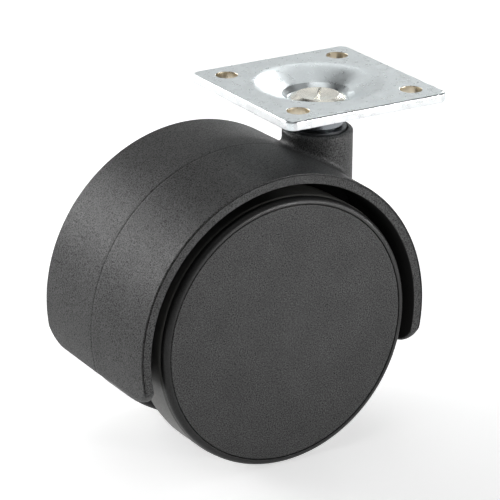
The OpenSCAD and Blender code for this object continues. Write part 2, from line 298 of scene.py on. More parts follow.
class Shader:
    """A node material with one Principled shader, and short calls to wire it up."""

    def __init__(self, name, color, roughness, metallic=0.0, **sockets):
        self.material = bpy.data.materials.new(name)
        self.material.use_nodes = True
        self.tree = self.material.node_tree
        self.bsdf = self.tree.nodes["Principled BSDF"]
        self.bsdf.inputs["Base Color"].default_value = (*color, 1)
        self.bsdf.inputs["Roughness"].default_value = roughness
        self.bsdf.inputs["Metallic"].default_value = metallic
        for socket, value in sockets.items():
            self.bsdf.inputs[socket.replace("_", " ")].default_value = value
        self.place = self.node("ShaderNodeTexCoord").outputs["Object"]
        self.bumps = []

    def node(self, kind, **settings):
        made = self.tree.nodes.new(kind)
        for key, value in settings.items():
            setattr(made, key, value)
        return made

    def link(self, output, node, socket):
        self.tree.links.new(output, node.inputs[socket])

    def stretched(self, scale):
        """The place, with each axis scaled."""
        mapping = self.node("ShaderNodeMapping")
        mapping.inputs["Scale"].default_value = scale
        self.link(self.place, mapping, "Vector")
        return mapping.outputs["Vector"]

    def noise(self, size, detail=2.0, rough=0.5, stretch=None):
        """Noise whose features are about size millimetres across."""
        made = self.node("ShaderNodeTexNoise")
        made.inputs["Scale"].default_value = 1 / (size * MM)
        made.inputs["Detail"].default_value = detail
        made.inputs["Roughness"].default_value = rough
        self.link(self.stretched(stretch) if stretch else self.place, made, "Vector")
        return made.outputs["Fac"]

    def cells(self, size):
        """Soft cells about size millimetres across."""
        made = self.node("ShaderNodeTexVoronoi", feature="SMOOTH_F1")
        made.inputs["Scale"].default_value = 1 / (size * MM)
        made.inputs["Smoothness"].default_value = 0.6
        self.link(self.place, made, "Vector")
        return made.outputs["Distance"]

    def folded(self):
        """The place in plan, folded into the quarter where x and y are positive."""
        made = self.node("ShaderNodeVectorMath", operation="ABSOLUTE")
        self.link(self.stretched((1.0, 1.0, 0.0)), made, 0)
        return made.outputs["Vector"]

    def distance_to_corner(self, half):
        """Distance in plan from the nearest corner of a square, whose half side is in mm."""
        made = self.node("ShaderNodeVectorMath", operation="DISTANCE")
        made.inputs[1].default_value = (half * MM, half * MM, 0.0)
        self.link(self.folded(), made, 0)
        return made.outputs["Value"]

    def furthest_out(self):
        """The larger of |x| and |y|."""
        parts = self.node("ShaderNodeSeparateXYZ")
        self.link(self.folded(), parts, "Vector")
        made = self.node("ShaderNodeMath", operation="MAXIMUM")
        self.link(parts.outputs["X"], made, 0)
        self.link(parts.outputs["Y"], made, 1)
        return made.outputs["Value"]

    def from_axle(self):
        """Distance from the axle's centre line."""
        made = self.node("ShaderNodeVectorMath", operation="DISTANCE")
        made.inputs[1].default_value = (AXLE_X * MM, 0.0, AXLE_Z * MM)
        self.link(self.stretched((1.0, 0.0, 1.0)), made, 0)
        return made.outputs["Value"]

    def height(self):
        """Height above the plate's upper face."""
        made = self.node("ShaderNodeSeparateXYZ")
        self.link(self.place, made, "Vector")
        return made.outputs["Z"]

    def spread(self, value, low, high, start=0.3, end=0.7):
        """Maps a noise value onto the range low to high."""
        made = self.node("ShaderNodeMapRange")
        made.inputs["From Min"].default_value = start
        made.inputs["From Max"].default_value = end
        made.inputs["To Min"].default_value = low
        made.inputs["To Max"].default_value = high
        self.link(value, made, "Value")
        return made.outputs["Result"]

    def tones(self, value, stops):
        """Colours along a noise value; each stop is (position, colour)."""
        ramp = self.node("ShaderNodeValToRGB")
        band = ramp.color_ramp
        while len(band.elements) < len(stops):
            band.elements.new(0.5)
        for element, (position, color) in zip(band.elements, stops):
            element.position = position
            element.color = (*color, 1)
        self.link(value, ramp, "Fac")
        return ramp.outputs["Color"]

    def mixed(self, factor, a, b, blend="MIX"):
        """Two colours blended; each may be an output or an (r, g, b)."""
        made = self.node("ShaderNodeMix", data_type="RGBA", blend_type=blend)
        if isinstance(factor, (int, float)):
            made.inputs["Factor"].default_value = factor
        else:
            self.link(factor, made, "Factor")
        for socket, value in ((6, a), (7, b)):
            if isinstance(value, tuple):
                made.inputs[socket].default_value = (*value, 1)
            else:
                self.tree.links.new(value, made.inputs[socket])
        return made.outputs[2]

    def times(self, a, b):
        """The product of two values."""
        made = self.node("ShaderNodeMath", operation="MULTIPLY")
        self.link(a, made, 0)
        self.link(b, made, 1)
        return made.outputs["Value"]

    def colour(self, value):
        self.link(value, self.bsdf, "Base Color")

    def rough(self, value):
        self.link(value, self.bsdf, "Roughness")

    def specular(self, value):
        self.link(value, self.bsdf, "Specular IOR Level")

    def bump(self, height, depth, strength=1.0):
        """Stacks a bump of that depth in millimetres on the ones before it."""
        made = self.node("ShaderNodeBump")
        made.inputs["Strength"].default_value = strength
        made.inputs["Distance"].default_value = depth * MM
        self.link(height, made, "Height")
        if self.bumps:
            self.link(self.bumps[-1], made, "Normal")
        self.bumps.append(made.outputs["Normal"])
        self.link(made.outputs["Normal"], self.bsdf, "Normal")


# How far the hood's inside is darkened, as painted shade.
INSIDE_PAINTED_SHADE = 0.6
NYLON_SPECULAR = 0.30


def scaled(color, factor):
    """A colour made lighter or darker."""
    return tuple(min(1.0, c * factor) for c in color)


def moulded_nylon(name, color, roughness, grain, depth, contrast, inner_r=0.0):
    """Black nylon with the fine, glinting grain of a spark-eroded mould.

    Nearer the axle than inner_r it is the hood's inside, darkened there as painted shade, with no grain in its
    tone and no sheen.
    """
    s = Shader(name, color, roughness, Specular_IOR_Level=NYLON_SPECULAR)
    fine = s.noise(grain, detail=2.0, rough=0.55)
    glint = s.noise(grain * 1.2, detail=2.0, rough=0.6, stretch=(1.07, 1.03, 1.11))
    pits = s.cells(grain * 1.4)
    cloud = s.noise(7.0, detail=5.0, rough=0.6)
    grainy = s.tones(fine, [(0.38, scaled(color, 1 - contrast)), (0.62, scaled(color, 1 + contrast))])
    cloudy = s.tones(cloud, [(0.34, (0.76,) * 3), (0.66, (1.0,) * 3)])
    skin = s.mixed(1.0, grainy, cloudy, "MULTIPLY")
    dull, bright = NYLON_SPECULAR * (1 - contrast), NYLON_SPECULAR * (1 + contrast)
    shine = s.spread(glint, dull, bright, 0.38, 0.62)
    # Painted shade: the hood's inside is darkened and its sheen taken away.
    if inner_r:
        outside = s.spread(s.from_axle(), 0.0, 1.0, (inner_r + 0.02) * MM, (inner_r + 0.20) * MM)
        skin = s.mixed(outside, scaled(color, INSIDE_PAINTED_SHADE), skin)
        shine = s.times(outside, shine)
    s.colour(skin)
    s.rough(s.spread(fine, roughness - 0.08, roughness + 0.10, 0.38, 0.62))
    s.specular(shine)
    s.bump(pits, depth, 0.7)
    s.bump(fine, depth * 0.8, 0.8)
    return s.material


def uneven(s, color):
    """A colour with soft darker clouds in it."""
    cloud = s.noise(2.0, detail=4.0, rough=0.6)
    return s.tones(cloud, [(0.32, color), (0.68, scaled(color, 0.88))])


def zinc_sheet(name, color, edge_color, hole_chromate_and_shade, roughness):
    """Zinc-plated sheet: satin and softly mottled, duller at its edge, and in its holes yellowed by chromate and
    darkened as painted shade.
    """
    s = Shader(name, color, roughness, 1.0)
    cloud = s.noise(5.0, detail=5.0, rough=0.6)
    speckle = s.noise(0.35, detail=3.0, rough=0.65)
    tint = s.tones(cloud, [(0.30, scaled(color, 0.93)), (0.70, scaled(color, 1.04))])
    flecks = s.tones(speckle, [(0.35, (0.93,) * 3), (0.65, (1.0,) * 3)])
    sheet = s.mixed(1.0, tint, flecks, "MULTIPLY")
    edge = PLATE_SIDE / 2
    at_edge = s.spread(s.furthest_out(), 0.0, 1.0, (edge - 0.30) * MM, (edge - 0.05) * MM)
    sheet = s.mixed(at_edge, sheet, uneven(s, edge_color))
    # The hole walls: chromate yellow, with a darker tone that is painted shade.
    in_hole = s.spread(s.distance_to_corner(SCREW_PITCH / 2), 1.0, 0.0,
                       (SCREW_R + 0.04) * MM, (SCREW_R + 0.12) * MM)
    s.colour(s.mixed(in_hole, sheet, uneven(s, hole_chromate_and_shade)))
    s.rough(s.spread(s.noise(1.6, detail=4.0), roughness - 0.05, roughness + 0.06))
    s.bump(s.noise(5.0, detail=2.0, rough=0.5), 0.03, 0.35)
    return s.material


def steel(name, color, roughness):
    """Steel with a slightly uneven tone and a fine turned finish, ready for its colour."""
    s = Shader(name, color, roughness, 1.0)
    fine = s.noise(0.4, detail=2.0, rough=0.5)
    s.rough(s.spread(fine, roughness - 0.02, roughness + 0.02))
    s.bump(s.noise(2.0, detail=1.0, rough=0.4), 0.010, 0.35)
    return s


def turned_steel(name, color, roughness):
    """Plain turned steel."""
    s = steel(name, color, roughness)
    s.colour(uneven(s, color))
    return s.material


def zinc_pin_shaded_collar(name, head_color, collar_shade_color, roughness):
    """Zinc that the riveting has rubbed pale on the pin's head; its collar, under the plate, is darkened as
    painted shade.
    """
    s = steel(name, head_color, roughness)
    is_head = s.spread(s.height(), 0.0, 1.0, (COLLAR_TOP + 0.2) * MM, (COLLAR_TOP + 0.5) * MM)
    # Painted shade: the collar, in the shade under the plate, is given a dark tone.
    s.colour(s.mixed(is_head, uneven(s, collar_shade_color), uneven(s, head_color)))
    return s.material


def soft_polyurethane(name, color, roughness):
    """Soft grey tread: matt, with a light dusting along its running face."""
    s = Shader(name, color, roughness, Specular_IOR_Level=0.4)
    cloud = s.noise(4.0, detail=5.0, rough=0.6)
    fine = s.noise(0.3, detail=3.0, rough=0.6)
    rubbed = s.noise(0.8, detail=4.0, rough=0.6, stretch=(1.0, 0.15, 1.0))
    base = s.tones(cloud, [(0.30, scaled(color, 0.86)), (0.70, scaled(color, 1.10))])
    scuffs = s.tones(rubbed, [(0.38, (0.90,) * 3), (0.62, (1.0,) * 3)])
    s.colour(s.mixed(1.0, base, scuffs, "MULTIPLY"))
    s.rough(s.spread(fine, roughness - 0.08, roughness + 0.08))
    s.bump(fine, 0.02, 0.6)
    return s.material


def acetal(name, color):
    """Pale bearing plastic with a faint sheen."""
    s = Shader(name, color, 0.35, Specular_IOR_Level=0.5)
    cloud = s.noise(1.5, detail=4.0)
    s.colour(s.tones(cloud, [(0.30, scaled(color, 0.92)), (0.70, scaled(color, 1.04))]))
    s.rough(s.spread(s.noise(0.3), 0.28, 0.46))
    s.bump(s.noise(0.4), 0.006, 0.6)
    return s.material


HOOD_NYLON = moulded_nylon("hood_nylon", (0.034, 0.034, 0.034), 0.50, 0.24, 0.022, 0.85,
                           HOOD_INNER_R)
WHEEL_NYLON = moulded_nylon("wheel_nylon", (0.009, 0.009, 0.009), 0.42, 0.20, 0.006, 0.20)
CAP_NYLON = moulded_nylon("cap_nylon", (0.033, 0.033, 0.033), 0.50, 0.24, 0.018, 0.75)
ZINC = zinc_sheet("zinc_plate", (0.83, 0.89, 0.905), (0.77, 0.79, 0.80), (0.70, 0.63, 0.50), 0.30)
PIN_ZINC = zinc_pin_shaded_collar("pin_zinc", (0.95, 0.93, 0.84), (0.26, 0.28, 0.30), 0.24)
BRIGHT_STEEL = turned_steel("bright_steel", (0.60, 0.61, 0.62), 0.26)
# Painted shade: the swivel washer sits in the neck's mouth under the plate, and its steel is given a dark tone for
# that shade.
WASHER_SHADE_STEEL = turned_steel("washer_shade_steel", (0.10, 0.105, 0.11), 0.34)
SPRING_STEEL = turned_steel("spring_steel", (0.12, 0.11, 0.10), 0.38)
TREAD_GREY = soft_polyurethane("soft_tread", (0.065, 0.065, 0.061), 0.44)
BUSH_ACETAL = acetal("bush_acetal", (0.72, 0.71, 0.66))


# ---------------------------------------------------------------------- top plate

def plate_outline(inset):
    """The plate's rounded square, pulled in all round by inset."""
    half = PLATE_SIDE / 2 - PLATE_CORNER_R
    r = PLATE_CORNER_R - inset
    points = []
    for k, (sx, sy) in enumerate(((1, 1), (-1, 1), (-1, -1), (1, -1))):
        points += arc(sx * half, sy * half, r, 90 * k, 90 * k + 90, 10)
    return points


def circle(cx, cy, r, count):
    """Points round a circle."""
    return [(cx + r * math.cos(2 * math.pi * k / count), cy + r * math.sin(2 * math.pi * k / count))
            for k in range(count)]


class Build:
    """Collects points and faces; every ring of points is a list of indices."""

    def __init__(self):
        self.verts = []
        self.faces = []

    def ring(self, points):
        """Adds points and returns their indices."""
        first = len(self.verts)
        self.verts += points
        return list(range(first, len(self.verts)))

    def band(self, a, b, closed=True):
        """Joins two rings with four-sided faces."""
        count = len(a)
        for i in range(count if closed else count - 1):
            j = (i + 1) % count
            self.faces.append((a[i], a[j], b[j], b[i]))

    def rings(self, rows, closed=True):
        """Adds rings and joins each to the next."""
        made = [self.ring(row) for row in rows]
        for a, b in zip(made, made[1:]):
            self.band(a, b, closed)
        return made

    def sheet_face(self, z, outer, holes):
        """A flat face at height z inside an outline and outside the round holes."""
        flat, edges = [], []
        for loop in [outer] + [points for *_, points in holes]:
            first = len(flat)
            flat += [Vector(p) for p in loop]
            edges += [(first + i, first + (i + 1) % len(loop)) for i in range(len(loop))]
        points, _, triangles, *_ = delaunay_2d_cdt(flat, edges, [], 1, 1e-7)
        first = len(self.verts)
        self.verts += [(p.x, p.y, z) for p in points]
        for triangle in triangles:
            middle = sum((points[i] for i in triangle), Vector((0, 0))) / 3
            if all((middle - Vector(c)).length > r for c, r, _ in holes):
                self.faces.append(tuple(first + i for i in triangle))


def dish_section():
    """The dish's upper surface from its rim inwards to the pin's hole, as (radius, height)."""
    wall_steps = 26
    wall = []
    for k in range(wall_steps):
        s = k / wall_steps
        depth = CREASE_DEPTH * s * s * (1 + DISH_SOFTNESS) / (s + DISH_SOFTNESS)
        wall.append((DISH_R + (CREASE_R - DISH_R) * s, -depth))
    inner = rounded([(*wall[-1], 0), (CREASE_R, -CREASE_DEPTH, 0.25), (SEAT_R, -DISH_DEPTH, 0.2),
                     (PIN_R, -DISH_DEPTH, 0)], closed=False, steps=4)
    return wall + inner[1:]


def make_top_plate():
    """The pressed plate: two flat faces, the edge round them, four holes and the dish."""
    edge_top, edge_low = 0.50, 0.15
    mouth, burr = 0.15, 0.12
    turns, hole_turns = 128, 48
    b = Build()
    centres = [(sx * SCREW_PITCH / 2, sy * SCREW_PITCH / 2) for sx in (-1, 1) for sy in (-1, 1)]

    def face(z, inset, widen):
        holes = [((0, 0), DISH_R, circle(0, 0, DISH_R, turns))]
        holes += [((x, y), SCREW_R + widen, circle(x, y, SCREW_R + widen, hole_turns))
                  for x, y in centres]
        b.sheet_face(z, plate_outline(inset), holes)

    face(0.0, edge_top, mouth)
    face(-PLATE_T, edge_low, burr)

    # The sheared edge: rolled over at the top, crisper below
    side = [(edge_top - x, y - edge_top) for x, y in arc(0, 0, edge_top, 90, 0, 6)]
    side += [(edge_low - x, y - PLATE_T + edge_low) for x, y in arc(0, 0, edge_low, 0, -90, 3)]
    b.rings([[(x, y, z) for x, y in plate_outline(inset)] for inset, z in side])

    # The screw holes, with a drawn-in mouth above and a small burr edge below
    wall = [(mouth - x, y - mouth) for x, y in arc(0, 0, mouth, 90, 0, 5)]
    wall += [(burr - x, y - PLATE_T + burr) for x, y in arc(0, 0, burr, 0, -90, 3)]
    for cx, cy in centres:
        b.rings([[(x, y, z) for x, y in circle(cx, cy, SCREW_R + widen, hole_turns)]
                 for widen, z in wall])

    # The dish, top side inwards, through the pin's hole and back out underneath
    section = dish_section()
    section += [(r, z - PLATE_T) for r, z in reversed(section)]
    b.rings([[(x, y, z) for x, y in circle(0, 0, r, turns)] for r, z in section])

    plate = add_mesh("plate_pressing", b.verts, b.faces)
    return finish_piece(plate, "plate", ZINC, ["top_plate"])


# ------------------------------------------------------------------------ kingpin

def cleft(half_length):
    """The punch's cleft across the pin's head: a slot with a V floor and tapering ends."""
    half_w, deep, shallow, above = 0.5, 0.75, 0.1, 0.5
    turn = math.radians(CLEFT_TURN)
    along = Vector((math.cos(turn), math.sin(turn), 0))
    aside = Vector((-along.y, along.x, 0))
    b = Build()
    rows = []
    for t in (-1.0, -0.8, -0.4, 0.0, 0.4, 0.8, 1.0):
        w = half_w * (1 - 0.55 * t * t)
        d = shallow + (deep - shallow) * (1 - t * t)
        section = [(-w, above), (-w, -0.4 * d), (0, -d), (w, -0.4 * d), (w, above)]
        rows.append([tuple(along * half_length * t + aside * x + Vector((0, 0, HEAD_TOP + z)))
                     for x, z in section])
    made = b.rings(rows)
    b.faces += [tuple(made[0]), tuple(made[-1])]
    return add_mesh("cleft", b.verts, b.faces)


def make_kingpin():
    """The kingpin: riveted head, shank, collar and grip ring's groove, from the top down."""
    floor = -DISH_DEPTH
    outline = rounded([
        (0, HEAD_TOP - HOLLOW_DEPTH, 0),
        (1.6, HEAD_TOP - HOLLOW_DEPTH + 0.05, 0.8),
        (HOLLOW_R, HEAD_TOP - 0.02, 0.25),
        (HEAD_TOP_R, HEAD_TOP, 0.12),
        (HEAD_R, floor + HEAD_RIM_H, 0.12),
        (HEAD_R - 0.12, floor, 0.08),
        (PIN_R, floor, 0),
        (PIN_R, COLLAR_TOP, 0),
        (COLLAR_R, COLLAR_TOP, 0.15),
        (COLLAR_R, COLLAR_BOTTOM, 0.4),
        (PIN_R, COLLAR_BOTTOM, 0),
        (PIN_R, GROOVE_TOP, 0.1),
        (GROOVE_R, GROOVE_TOP, 0.1),
        (GROOVE_R, GROOVE_BOTTOM, 0.1),
        (PIN_R, GROOVE_BOTTOM, 0.1),
        (PIN_R, PIN_TIP + PIN_CHAMFER, 0.3),
        (PIN_R - PIN_CHAMFER, PIN_TIP, 0.3),
        (0, PIN_TIP, 0),
    ], closed=False)
    pin = lathe("kingpin_turned", outline, upright, 96, closed=False)
    boolean(pin, "DIFFERENCE", [cleft(HOLLOW_R)])
    smooth(pin, 32.0)
    return finish_piece(pin, "plate", PIN_ZINC, ["kingpin"])


# --------------------------------------------------------------------------- hood

HOOD_EDGE_R = 0.18
END_CORNER_R = 1.6
END_INNER_R = 0.6
END_CURVE_W = 5.0
END_RISE = 3.0
SWEEP_STEPS = 168
CORNER_STEPS = 8
PARTING_HALF_W = 0.14
PARTING_DEPTH = 0.09
NECK_FILLET = 1.7
NECK_EDGE_R = 0.7
PATCH_HALF_Y = 10.8
PATCH_BACK = -10.9
PATCH_FRONT = 10.6
RIM_LINE_IN = 0.20
RIM_LINE_W = 0.22
RIM_LINE_DEPTH = 0.30


def hood_radius(y):
    """Outer radius of the hood, which grows towards the parting line."""
    return HOOD_MID_R + (HOOD_RIM_R - HOOD_MID_R) * min(1.0, abs(y) / (HOOD_HALF - HOOD_EDGE_R))


def end_drop(y):
    """How far below the axle the hood's ends reach; they curve up towards the rims."""
    curve_r = (END_CURVE_W ** 2 + END_RISE ** 2) / (2 * END_RISE)
    past = max(0.0, abs(y) - (HOOD_HALF - END_CURVE_W))
    return HOOD_DROP - curve_r + math.sqrt(curve_r ** 2 - past ** 2)


def hood_outline(outer_r, inset, drop):
    """The hood's end view: outer arc, one end, inner arc, then the other end."""
    outer_turn = math.degrees(math.asin((END_CORNER_R - drop) / (outer_r - END_CORNER_R)))
    inner_turn = math.degrees(math.asin((END_INNER_R - drop) / (HOOD_INNER_R + END_INNER_R)))
    cx, cz = arc(0, 0, outer_r - END_CORNER_R, outer_turn, outer_turn, 1)[0]
    ix, iz = arc(0, 0, HOOD_INNER_R + END_INNER_R, inner_turn, inner_turn, 1)[0]
    outer = arc(0, 0, outer_r - inset, outer_turn, 180 - outer_turn, SWEEP_STEPS)
    inner = arc(0, 0, HOOD_INNER_R + inset, 180 - inner_turn, inner_turn, SWEEP_STEPS)
    corner = arc(cx, cz, END_CORNER_R - inset, outer_turn, -90, CORNER_STEPS)[1:]
    lip = arc(ix, iz, END_INNER_R - inset, -90, inner_turn - 180, CORNER_STEPS)[:-1]
    right_end = corner + lip
    left_end = [(-x, z) for x, z in right_end]
    return outer + left_end + inner + right_end[::-1]


def hood_rows():
    """Stations along the axle: (y, how far the outline is pulled in, outer radius)."""
    rows = []
    for k in range(7):
        a = math.radians(15 * k)
        y = -HOOD_HALF + HOOD_EDGE_R * (1 - math.cos(a))
        rows.append((y, HOOD_EDGE_R * (1 - math.sin(a)), HOOD_RIM_R))
    start, stop, steps = -HOOD_HALF + HOOD_EDGE_R, -PARTING_HALF_W, 28
    for k in range(1, steps + 1):
        y = start + (stop - start) * k / steps
        rows.append((y, 0.0, hood_radius(y)))
    mirrored = [(-y, inset, r) for y, inset, r in reversed(rows)]
    return rows + [(0.0, 0.0, HOOD_MID_R - PARTING_DEPTH)] + mirrored


def hood_height(x, y):
    """Height of the hood's outer surface."""
    return AXLE_Z + math.sqrt(hood_radius(y) ** 2 - (x - AXLE_X) ** 2)


def neck_patch(rows, grid, verts):
    """The rectangle of the outer surface that the neck's foot takes up, as rows and columns."""
    near = [j for j, (y, _, _) in enumerate(rows) if abs(y) < PATCH_HALF_Y]
    first_row = grid[near[0]]
    inside = [i for i in range(SWEEP_STEPS // 2)
              if PATCH_BACK < verts[first_row[i]][0] < PATCH_FRONT]
    return near[0], near[-1], inside[0], inside[-1]


def neck_layers(edge):
    """Rings of points from the patch's edge inwards to the neck's fillet, side and top."""
    ways = [e.normalized() for e in edge]
    foot_r = NECK_R + NECK_FILLET
    spread_steps, fillet_steps, side_steps, round_steps = 6, 9, 6, 6
    layers = []
    for k in range(1, spread_steps + 1):
        t = k / spread_steps
        flat = [e.lerp(w * foot_r, t) for e, w in zip(edge, ways)]
        layers.append([(p.x, p.y, hood_height(p.x, p.y)) for p in flat])
    for k in range(1, fillet_steps + 1):
        t = k / fillet_steps
        layer = []
        for w in ways:
            foot, root = w * foot_r, w * NECK_R
            corner_z = hood_height(root.x, root.y)
            r = (1 - t) ** 2 * foot_r + (1 - (1 - t) ** 2) * NECK_R
            z = ((1 - t) ** 2 * hood_height(foot.x, foot.y) + 2 * t * (1 - t) * corner_z
                 + t * t * (corner_z + NECK_FILLET))
            layer.append((w.x * r, w.y * r, z))
        layers.append(layer)
    shoulder = NECK_TOP - NECK_EDGE_R
    top_of_fillet = [z for _, _, z in layers[-1]]
    for k in range(1, side_steps + 1):
        t = k / side_steps
        layers.append([(w.x * NECK_R, w.y * NECK_R, z + (shoulder - z) * t)
                       for w, z in zip(ways, top_of_fillet)])
    for r, z in arc(NECK_R - NECK_EDGE_R, shoulder, NECK_EDGE_R, 0, 90, round_steps)[1:]:
        layers.append([(w.x * r, w.y * r, z) for w in ways])
    return layers


def make_hood_shell():
    """The hood's wall with the neck growing out of it, as one closed surface."""
    rows = hood_rows()
    b = Build()
    grid = [b.ring([(AXLE_X + x, y, AXLE_Z + z) for x, z in hood_outline(r, inset, end_drop(y))])
            for y, inset, r in rows]
    count = len(grid[0])
    j1, j2, i1, i2 = neck_patch(rows, grid, b.verts)
    for j in range(len(rows) - 1):
        for i in range(count):
            if j1 <= j < j2 and i1 <= i < i2:
                continue
            k = (i + 1) % count
            b.faces.append((grid[j][i], grid[j][k], grid[j + 1][k], grid[j + 1][i]))

    # The two rim faces, as a band of quads with one polygon at each end
    first_inner = SWEEP_STEPS + 1 + 2 * CORNER_STEPS
    for row in (grid[0], grid[-1]):
        for i in range(SWEEP_STEPS):
            b.faces.append((row[i], row[i + 1], row[first_inner + SWEEP_STEPS - i - 1],
                            row[first_inner + SWEEP_STEPS - i]))
        b.faces.append(tuple(row[SWEEP_STEPS:first_inner + 1]))
        b.faces.append(tuple(row[first_inner + SWEEP_STEPS:] + [row[0]]))

    # The neck, joined to the edge of the patch that was left open for it
    border = [grid[j][i1] for j in range(j1, j2)]
    border += [grid[j2][i] for i in range(i1, i2)]
    border += [grid[j][i2] for j in range(j2, j1, -1)]
    border += [grid[j1][i] for i in range(i2, i1, -1)]
    made = b.rings(neck_layers([Vector(b.verts[i][:2]) for i in border]))
    b.band(border, made[0])
    b.faces.append(tuple(made[-1]))
    return add_mesh("hood_moulding", b.verts, b.faces)


def prism(name, outline_at, half, edge, steps=4):
    """A plate across the axle, as thick as 2 * half, with rounded edges."""
    rows = []
    for k in range(steps + 1):
        a = math.radians(90 * k / steps)
        rows.append((-half + edge * (1 - math.cos(a)), edge * (1 - math.sin(a))))
    rows += [(-y, inset) for y, inset in reversed(rows)]
    b = Build()
    made = b.rings([[(AXLE_X + x, y, AXLE_Z + z) for x, z in outline_at(inset)]
                    for y, inset in rows])
    b.faces += [tuple(made[0]), tuple(made[-1])]
    return add_mesh(name, b.verts, b.faces)


def web_outline(inset):
    """The web's end view: most of a disc inside the hood, cut off level below."""
    r = HOOD_INNER_R + HOOD_WALL / 2
    z = -HOOD_DROP + WEB_UNDERCUT + inset
    turn = math.degrees(math.asin(z / r))
    return arc(0, 0, r, turn, 180 - turn, 90)


def make_hood():
    """The hood body: shell, web, boss and column in one, bored for the kingpin and axle."""
    hood = make_hood_shell()
    web = prism("web", web_outline, WEB_T / 2, WEB_EDGE_R)
    boss_end = inner_washer_low.y
    boss = lathe("boss", rounded([
        (0, -boss_end, 0), (BOSS_R, -boss_end, WEB_EDGE_R),
        (BOSS_R, boss_end, WEB_EDGE_R), (0, boss_end, 0),
    ], closed=False), across(1), 72, closed=False)
    column = lathe("column", rounded([
        (0, COLUMN_BOTTOM, 0), (COLUMN_R, COLUMN_BOTTOM, 0.8), (COLUMN_R, COLUMN_TOP, 0),
        (0, COLUMN_TOP, 0),
    ], closed=False), upright, 72, closed=False)
    boolean(hood, "UNION", [web, boss, column])

    seat = washer_low.z
    mouth_r = washer_high.x + SNAP_GAP
    above = NECK_TOP + 1
    socket = lathe("socket", [
        (0, SOCKET_FLOOR), (SOCKET_R, SOCKET_FLOOR), (SOCKET_R, seat), (mouth_r, seat),
        (mouth_r, NECK_TOP - SOCKET_BEVEL), (mouth_r + SOCKET_BEVEL, NECK_TOP),
        (mouth_r + SOCKET_BEVEL, above), (0, above),
    ], upright, 96, closed=False)
    axle_r = axle_high.x - AXLE_X
    bore = lathe("bore", [
        (0, -boss_end - 1), (axle_r, -boss_end - 1), (axle_r, boss_end + 1), (0, boss_end + 1),
    ], across(1), 72, closed=False)
    outer = HOOD_RIM_R - RIM_LINE_IN
    inner = outer - RIM_LINE_W
    floor = HOOD_HALF - RIM_LINE_DEPTH
    lines = [lathe("rim_line", [(inner, floor), (outer, floor), (outer, HOOD_HALF + 1),
                                (inner, HOOD_HALF + 1)], across(side), 240) for side in (1, -1)]
    boolean(hood, "DIFFERENCE", [socket, bore] + lines)
    smooth(hood, 35.0)
    return finish_piece(hood, "fork", HOOD_NYLON, ["hood_body"])


# ------------------------------------------------------------------------- wheels

def make_rim(place, word):
    """The rim: hub, web, flanges, the tread's channel and the cap's seat."""
    lip_r = CAP_R + SNAP_GAP
    hub_end = bush_high.y
    bush_seat = bush_low.y + BUSH_FLANGE_T
    rim = lathe(word + "_rim_moulding", rounded([
        (BUSH_R, bush_seat, 0),
        (BUSH_FLANGE_R, bush_seat, 0),
        (BUSH_FLANGE_R, bush_low.y, 0),
        (HUB_R, bush_low.y, 0.4),
        (HUB_R, RIM_WEB_START, 0.4),
        (RIM_INNER_R, RIM_WEB_START, 0.5),
        (RIM_INNER_R, RIM_START, 0.3),
        (FLANGE_R, RIM_START, 1.0),
        (FLANGE_R, TREAD_START, 0.12),
        (CHANNEL_R, TREAD_START, 0),
        (CHANNEL_R, TREAD_END, 0),
        (FLANGE_R, TREAD_END, 0.12),
        (FLANGE_R, WHEEL_OUTER, SHOULDER_R),
        (lip_r, WHEEL_OUTER, 0.1),
        (lip_r, CAP_SEAT, 0),
        (RIM_INNER_R, CAP_SEAT, 0),
        (RIM_INNER_R, RIM_WEB_END, 0.5),
        (HUB_R, RIM_WEB_END, 0.5),
        (HUB_R, hub_end, 0.3),
        (BUSH_R, hub_end, 0),
    ]), place, 192)
    finish_piece(rim, word + "_wheel", WHEEL_NYLON, [word + "_wheel_rim"])


def make_tread(place, word):
    """The tread: a band in the rim's channel, standing just proud of the flanges."""
    edge_r = 0.4
    tread = lathe(word + "_tread_band", rounded([
        (CHANNEL_R, TREAD_START, 0),
        (FLANGE_R, TREAD_START, 0.05),
        (TREAD_R, TREAD_START + edge_r, edge_r),
        (TREAD_R, TREAD_END - edge_r, edge_r),
        (FLANGE_R, TREAD_END, 0.05),
        (CHANNEL_R, TREAD_END, 0),
    ]), place, 192)
    finish_piece(tread, word + "_wheel", TREAD_GREY, [word + "_tread"])


def make_cap(place, word):
    """The cap: a flat disc with a fine seam round it, and a spigot that grips the rim."""
    edge_r = CAP_R - CAP_SEAM
    inside = WHEEL_OUTER - CAP_T
    spigot_end = cap_low.y
    spigot_r = RIM_INNER_R - SNAP_GAP
    cap = lathe(word + "_cap_disc", rounded([
        (0, inside, 0),
        (spigot_r - SPIGOT_T, inside, 0.3),
        (spigot_r - SPIGOT_T, spigot_end, 0.3),
        (spigot_r, spigot_end, 0.3),
        (spigot_r, CAP_SEAT, 0),
        (edge_r, CAP_SEAT, 0.1),
        (edge_r, WHEEL_OUTER, 0.22),
        (0, WHEEL_OUTER, 0),
    ], closed=False), place, 192, closed=False)
    finish_piece(cap, word + "_wheel", CAP_NYLON, [word + "_hub_cap"])


def make_wheel(side, word):
    """One wheel, on the side of the hood that side gives: 1 is left and -1 is right."""
    place = across(side)
    make_rim(place, word)
    make_tread(place, word)
    make_cap(place, word)


# ------------------------------------------------------- CAD pieces that stay as they are

KEPT = {
    "grip_ring": SPRING_STEEL,
    "neck_sleeve": BRIGHT_STEEL,
    "swivel_washer": WASHER_SHADE_STEEL,
    "axle": BRIGHT_STEEL,
}
for word in ("left", "right"):
    KEPT[word + "_inner_washer"] = BRIGHT_STEEL
    KEPT[word + "_outer_washer"] = BRIGHT_STEEL
    KEPT[word + "_axle_clip"] = SPRING_STEEL
    KEPT[word + "_hub_bush"] = BUSH_ACETAL

for node, material in KEPT.items():
    obj = frame["nodes"][node]
    obj.data.materials.clear()
    obj.data.materials.append(material)

